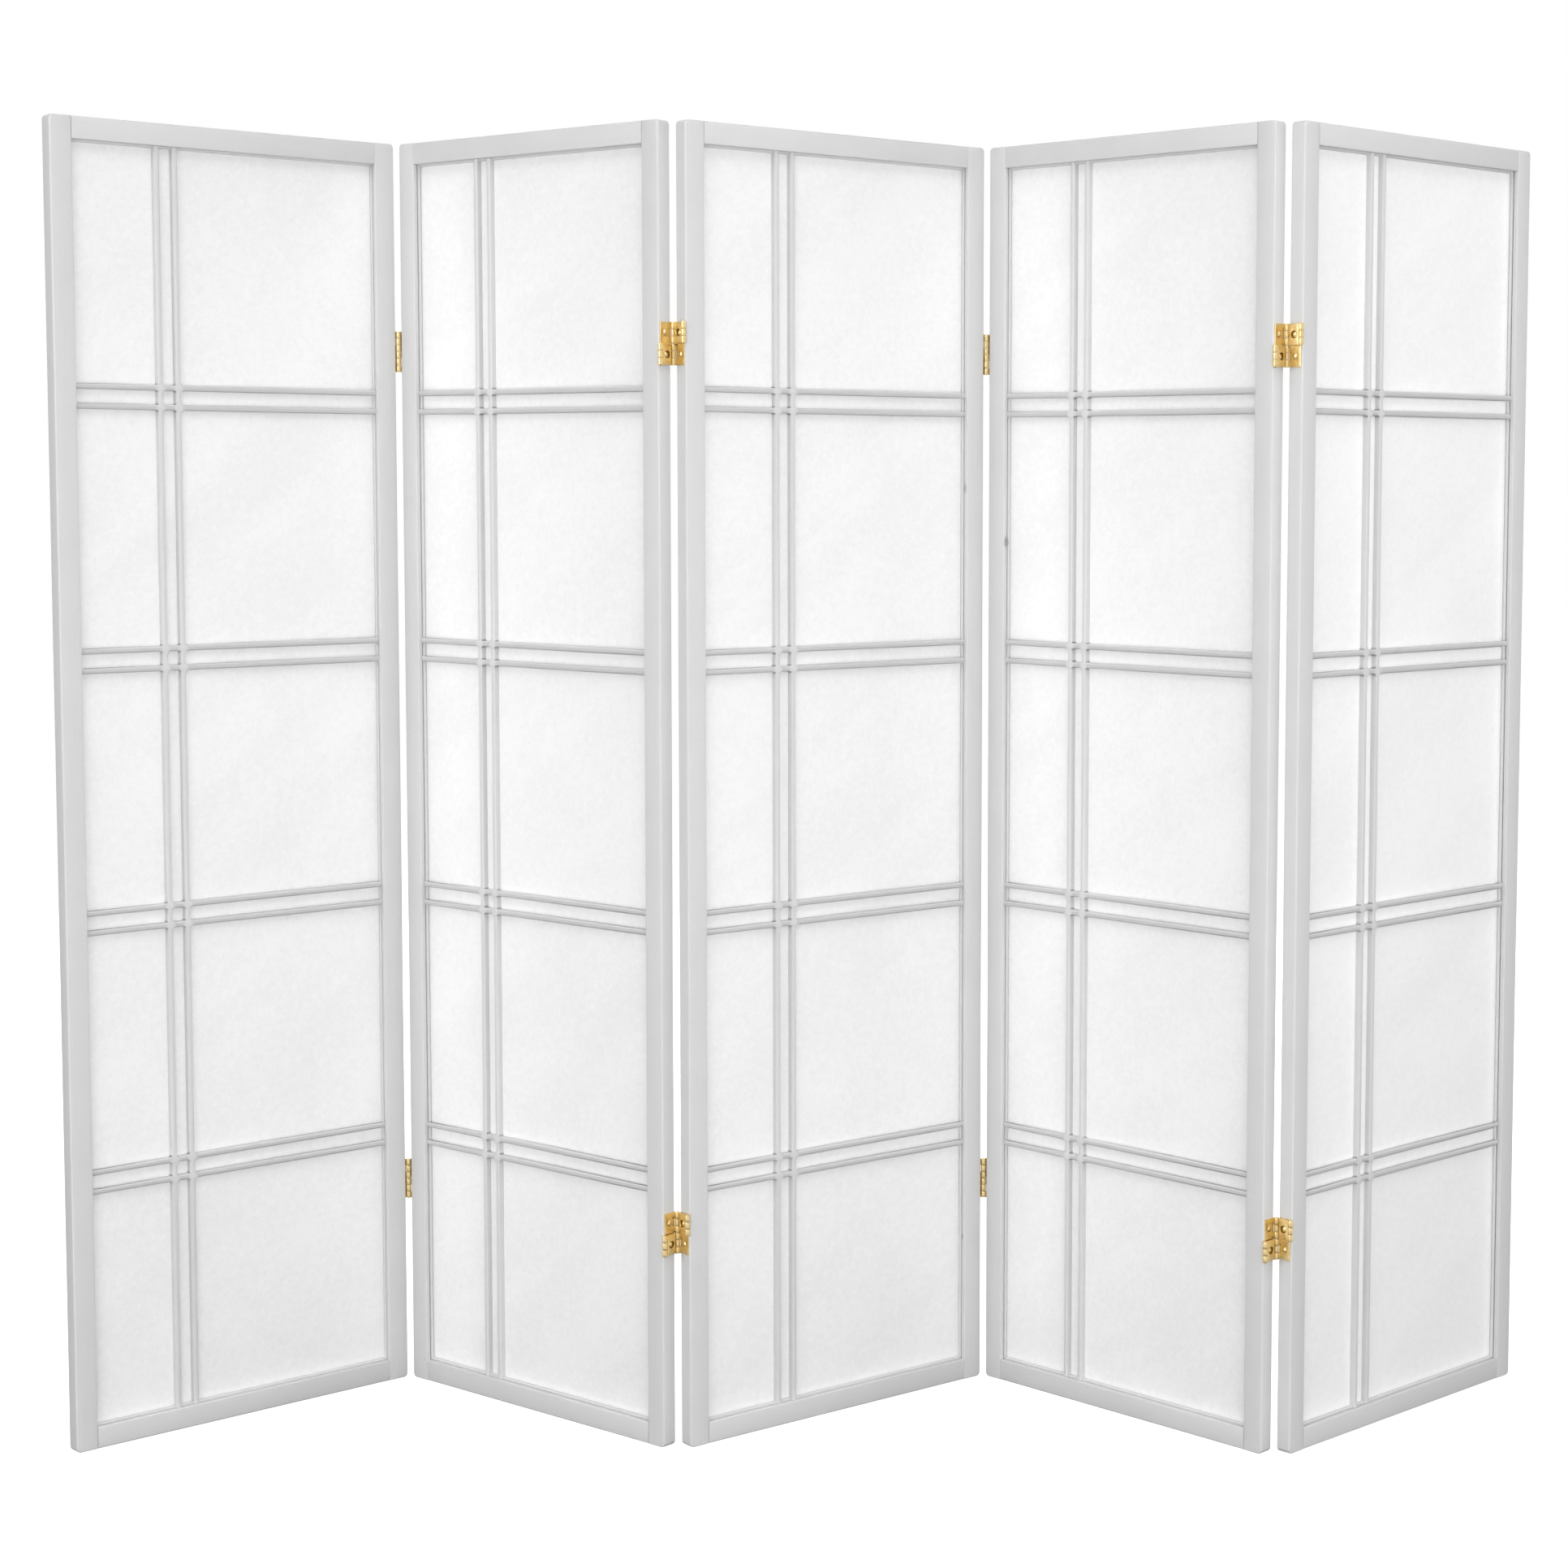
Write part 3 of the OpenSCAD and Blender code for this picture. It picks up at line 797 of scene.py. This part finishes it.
def knuckleShell(outline, k, shape):
    # one knuckle, k steps above the hinge's middle
    low = k * shape["knuckle"] + shape["knuckleGap"] / 2
    return slab(outline, low, low + shape["knuckle"] - shape["knuckleGap"], shape["ease"])


def holedPlate(y0, y1, z0, z1, x0, x1, holeR, shape, openEdge=None, cone=0.0):
    # a flat plate round one hole: for each direction, a section that runs up the hole's wall, out
    # over the front face, round the eased outer edge and back behind it. cone is how far the
    # hole is countersunk, and openEdge is 1 or -1 where the top or the foot joins another plate
    cy, cz = (y0 + y1) / 2, (z0 + z1) / 2
    hy, hz = (y1 - y0) / 2, (z1 - z0) / 2
    corner = math.atan2(hz, hy)
    marks = np.array([corner, math.pi - corner, math.pi + corner, 2 * math.pi - corner])
    evenly = np.linspace(0, 2 * math.pi, shape["holeSteps"], endpoint=False)
    angle = np.unique(np.round(np.r_[evenly, marks], 9))
    c, s = np.cos(angle), np.sin(angle)
    reach = np.minimum(hy / np.maximum(np.abs(c), 1e-9), hz / np.maximum(np.abs(s), 1e-9))
    rim = np.stack([reach * c, reach * s], -1)
    hole = np.stack([holeR * c, holeR * s], -1)
    onSide = np.abs(np.abs(rim[:, 0]) - hy) < 1e-9
    onEnd = np.abs(np.abs(rim[:, 1]) - hz) < 1e-9
    inward = -np.stack([np.sign(rim[:, 0]) * onSide, np.sign(rim[:, 1]) * onEnd], -1)
    if openEdge is not None:
        inward[:, 1] = np.where(np.sign(rim[:, 1]) == openEdge, 0, inward[:, 1])
    ease, a = shape["ease"], np.linspace(0, math.pi / 2, 4)
    lip = ease * 0.6
    profile = [(hole * (1 + cone / holeR), x1)]
    profile += [(rim + inward * ease * (1 - np.sin(t)), x1 - ease * (1 - np.cos(t))) for t in a]
    profile += [(rim + inward * ease * (1 - np.cos(t)), x0 + ease * (1 - np.sin(t))) for t in a]
    profile += [(hole, x0), (hole, x1 - cone - lip)]
    rows = []
    for flat, x in profile:
        rows.append(np.stack([np.full(len(angle), x), flat[:, 0] + cy, flat[:, 1] + cz], -1))
    shell = sweep(np.stack(rows, 1), ringed=True)
    if openEdge is not None:
        edge = z1 if openEdge > 0 else z0
        onEdge = np.abs(shell["points"][:, 2] - edge) < 1e-9
        keep = [not all(onEdge[v] for v in face) for face in shell["faces"]]
        shell["uvs"] = shell["uvs"].reshape(-1, 4, 2)[keep].reshape(-1, 2)
        shell["faces"] = [f for f, k in zip(shell["faces"], keep) if k]
    return shell


def plateShells(shape, screw):
    # the plate on the stile's side, in two halves joined into one, and the four knuckles it ends in
    low = shape["knuckleGap"] / 2 - shape["half"]
    wide = shape["plateHalf"]
    holeR = screw["headR"] - screw["sink"] + screw["headGap"]
    args = {"x0": 0, "x1": shape["plate"], "holeR": holeR, "shape": shape, "cone": screw["sink"]}
    lower = holedPlate(-wide, wide, low, 0, openEdge=1, **args)
    upper = holedPlate(-wide, wide, 0, -low, openEdge=-1, **args)
    raised = [[v + len(lower["points"]) for v in face] for face in upper["faces"]]
    joined = {"points": np.vstack([lower["points"], upper["points"]]),
              "faces": lower["faces"] + raised,
              "uvs": np.vstack([lower["uvs"], upper["uvs"]])}
    roll = curl((shape["plate"] / 2, wide - shape["plateBend"]), *shape["plateCurl"], shape)
    shells = [joined]
    for k in (0, 2):
        knuckle = knuckleShell(roll, k, shape)
        shells += [knuckle, moved(knuckle, np.diag([1, -1, -1]))]
    return shells


def leafShells(shape):
    # the leaf that stands in the middle of the gap, below the hinge's middle, and its two knuckles
    x = shape["gap"] / 2
    low, wide = shape["knuckleGap"] / 2 - shape["half"], shape["leafHalf"]
    sheet = holedPlate(-wide, wide, low, -shape["knuckleGap"] / 2, x - shape["plate"] / 2,
                       x + shape["plate"] / 2, shape["holeR"], shape)
    roll = curl((x, wide - shape["leafBend"]), *shape["leafCurl"], shape)
    knuckle = moved(knuckleShell(roll, 1, shape), np.diag([1, 1, -1]))
    return [sheet, knuckle, moved(knuckle, np.diag([1, -1, 1]))]


def pinShells(shape, pin, long):
    # the pins fill their barrels, and the outer one ends in a low dome: height = rise * sin a,
    # radius = knobR * cos a
    end, x, y = shape["half"] - pin["short"], shape["gap"] / 2, shape["barrelY"]
    a = np.linspace(math.radians(pin["domeAngle"]), 0, 6)
    knob = np.stack([-shape["half"] - pin["knobRise"] * np.sin(a), pin["knobR"] * np.cos(a)], -1)
    stem = [(-end, pin["radius"]), (-pin["tipLow"], pin["radius"]), (-pin["tipHigh"], pin["tipR"])]
    outer = lathe(np.vstack([knob, stem]), pin["knobTurns"])
    shells = [moved(outer, np.eye(3), (x, -y, 0))]
    if long:
        rod = easedRod(-end, end, pin["radius"], pin["ease"], pin["rodTurns"])
        shells.append(moved(rod, np.eye(3), (x, y, 0)))
    return shells


def screwShells(shape, screw, turn):
    # an oval head: height = rise * (1 - r^2 / R^2), lowered by slotDeep inside the slot
    radius, half, steps = screw["headR"], screw["slot"] / 2, screw["headSteps"]
    u = np.r_[np.linspace(-1, -half / radius, steps), np.linspace(-half / radius, half / radius, 3),
              np.linspace(half / radius, 1, steps)] * radius
    inSlot = np.r_[np.zeros(steps, bool), np.ones(3, bool), np.zeros(steps, bool)]
    chord = np.sqrt(np.maximum(radius**2 - u**2, 0))
    v = np.linspace(-1, 1, 15)
    uu = np.broadcast_to(u[:, None], (len(u), len(v)))
    vv = chord[:, None] * v[None]
    top = screw["headRise"] * (1 - (uu**2 + vv**2) / radius**2) - screw["slotDeep"] * inSlot[:, None]
    face = np.stack([uu, vv, top], -1)
    cone, sunk = screw["coneShare"] * screw["sink"], screw["underShare"] * screw["sink"]
    narrow = 1 - cone / radius
    under = np.stack([uu * narrow, vv * narrow, np.full_like(uu, -sunk)], -1)
    head = sheetShell(face, under)
    end, shankR = -screw["length"], screw["shankR"]
    profile = [(end, screw["tipR"]), (end + screw["tip"], shankR), (-cone, shankR)]
    shank = lathe(profile, screw["turns"])
    c, s = math.cos(turn), math.sin(turn)
    # the screw's Z becomes the hinge's X
    stand = np.array([[0, 0, 1], [1, 0, 0], [0, 1, 0]]) @ np.array([[c, -s, 0], [s, c, 0], [0, 0, 1]])
    shells = []
    for z, lift in ((-shape["holeZ"], screw["underLeaf"]), (shape["holeZ"], 0)):
        for part in (head, shank):
            shells.append(moved(part, stand, (shape["plate"] + lift, 0, z)))
    return shells


foldSides = {1: -1, 2: 1, 3: -1, 4: 1}  # which side each fold closes on
hingesApart = 0.2  # the hinges of one edge stand further apart than this


def hingeSeats(panel, width):
    # (matrix, shift, is right edge) of every hinge half on a panel
    seats = []
    for edge, fold in (("right", panel.n), ("left", panel.n - 1)):
        if fold not in foldSides:
            continue
        node = f"hinge_plates_{panel.n}"
        side = foldSides[fold]
        z = panel.local(node)[:, 2]
        for low, high in spans(z, hingesApart):
            middle = (low + high) / 2
            if edge == "right":
                seats.append((np.diag([1, side, 1]), (width, 0, middle), True))
            else:
                seats.append((np.diag([-1, side, -1]), (0, 0, middle), False))
    return seats


# rubbed marks by panel and side: how far in, how far up from its foot, size, depth of tone
scuffY = -0.0052
scuffMarks = {
    (3, "right"): [(0.0263, 1.087, 0.0042, 0.42), (0.0263, 0.177, 0.0022, 0.6)],
    (4, "left"): [(0.0263, 1.023, 0.0048, 0.62)],
}


def scuffsOn(panel, side, width):
    spots = []
    for across, up, size, depth in scuffMarks.get((panel.n, side), []):
        x = across if side == "left" else width - across
        spots.append((tuple(panel.world(np.array([x, scuffY, up]))), size, depth))
    return spots


paint = makeMaterial("framePaint", paintedWood(framePaint))
slatPaint = makeMaterial("slatPaint", paintedWood(slatLook))
# the crossbars' paint with painted shade darkening their fronts
crossbarPaintAndShade = makeMaterial("crossbarPaintAndShade", paintedWood(crossbarLook))
shojiPaper = makeMaterial("shojiPaper", washi(paperLook))
paintedLightPaper = makeMaterial("paintedLightPaper", washi(paintedLightPaperLook))
hingeBrass = makeMaterial("hingeBrass", brass(brassLook))
screwBrass = makeMaterial("screwBrass", brass(screwLook))

barsApart = 0.008  # two bars stand further apart than this
# how far the grain of each kind moves on from panel to panel
grainShifts = {"leftStile": 1.7, "rightStile": 2.9, "bottomRail": 3.3, "topRail": 4.1,
               "uprights": 1, "crossbars": 1.3, "borderStrips": 2.1}


def makeWood(kind, panel, shells, material, node):
    shift = panel.n * grainShifts[kind]
    makePiece(f"{kind}{panel.n}", panel, shells, material, [f"{node}_{panel.n}"], salt=shift)


for n in range(1, panelCount + 1):
    panel = Panel(n)
    leftLow, leftHigh = panel.box(f"left_stile_{n}")
    _, rightHigh = panel.box(f"right_stile_{n}")
    railLow, railHigh = panel.box(f"bottom_rail_{n}")
    width, tall = rightHigh[0], leftHigh[2]
    inside = (leftHigh[0], width - leftHigh[0])
    railTop = railHigh[2]

    stilePaint = {"left": paint, "right": paint}
    stripPaint = slatPaint
    for side in stilePaint:
        scuffs = scuffsOn(panel, side, width)
        if scuffs:
            stilePaint[side] = makeMaterial(f"scuffedStile{n}", paintedWood(framePaint, scuffs))
            stripPaint = makeMaterial(f"scuffedStrip{n}", paintedWood(slatLook, scuffs))
    stile = stileShell(leftLow, leftHigh, railTop - railShape["rabbet"], stileShape)
    makeWood("leftStile", panel, [stile], stilePaint["left"], "left_stile")
    stile = flipX(stile, width)
    makeWood("rightStile", panel, [stile], stilePaint["right"], "right_stile")
    rail = railShell((inside[0], railLow[1], 0), (inside[1], railHigh[1], railTop), railShape)
    makeWood("bottomRail", panel, [rail], paint, "bottom_rail")
    makeWood("topRail", panel, [flipZ(rail, tall)], paint, "top_rail")

    uprights = spans(panel.local(f"lattice_uprights_{n}")[:, 0], barsApart)
    crossbars = spans(panel.local(f"lattice_crossbars_{n}")[:, 2], barsApart)
    slatLow, slatHigh = panel.box(f"lattice_uprights_{n}")
    faces = (slatLow[1], slatHigh[1])
    shells = [slatShell(railTop, tall - railTop, *bar, *faces, crossbars, slatShape, False)
              for bar in uprights]
    makeWood("uprights", panel, shells, slatPaint, "lattice_uprights")
    shells = [moved(slatShell(*inside, *bar, *faces, uprights, slatShape, True), lying)
              for bar in crossbars]
    makeWood("crossbars", panel, shells, crossbarPaintAndShade, "lattice_crossbars")
    shells = borderShells(*panel.box(f"lattice_border_{n}"), stripShape)
    makeWood("borderStrips", panel, shells, stripPaint, "lattice_border")

    low, high = panel.box(f"paper_{n}")
    held = stripShape["side"]
    sides = [(low[0], low[0] + held), (high[0] - held, high[0])]
    ends = [(low[2], low[2] + held), (high[2] - held, high[2])]
    seed = paperShape["seed"] + n
    sheet = paperShell(low, high, uprights + sides, crossbars + ends, paperShape, seed)
    # the last panel gets the lighter paper as painted light
    paper = paintedLightPaper if n == panelCount else shojiPaper
    makePiece(f"paper{n}", panel, [sheet], paper, [f"paper_{n}"])

    plates, leaves, pins, screws = [], [], [], []
    draw = np.random.default_rng(screwShape["seed"] + n)
    for matrix, shift, isRight in hingeSeats(panel, width):
        turn = draw.uniform(0, math.pi)
        for shells, made in ((plates, plateShells(hingeShape, screwShape)),
                             (leaves, leafShells(hingeShape)),
                             (pins, pinShells(hingeShape, pinShape, isRight)),
                             (screws, screwShells(hingeShape, screwShape, turn))):
            shells += [moved(shell, matrix, shift) for shell in made]
    makePiece(f"hingePlates{n}", panel, plates, hingeBrass, [f"hinge_plates_{n}"])
    makePiece(f"hingeLeaves{n}", panel, leaves, hingeBrass, [f"hinge_leaves_{n}"])
    makePiece(f"hingePins{n}", panel, pins, screwBrass, [f"hinge_pins_{n}"])
    makePiece(f"hingeScrews{n}", panel, screws, screwBrass, [f"hinge_screws_{n}"])
    print("panel", n, "built")

print("triangles", sum(sum(len(f.vertices) - 2 for f in p.data.polygons) for p in pieces))
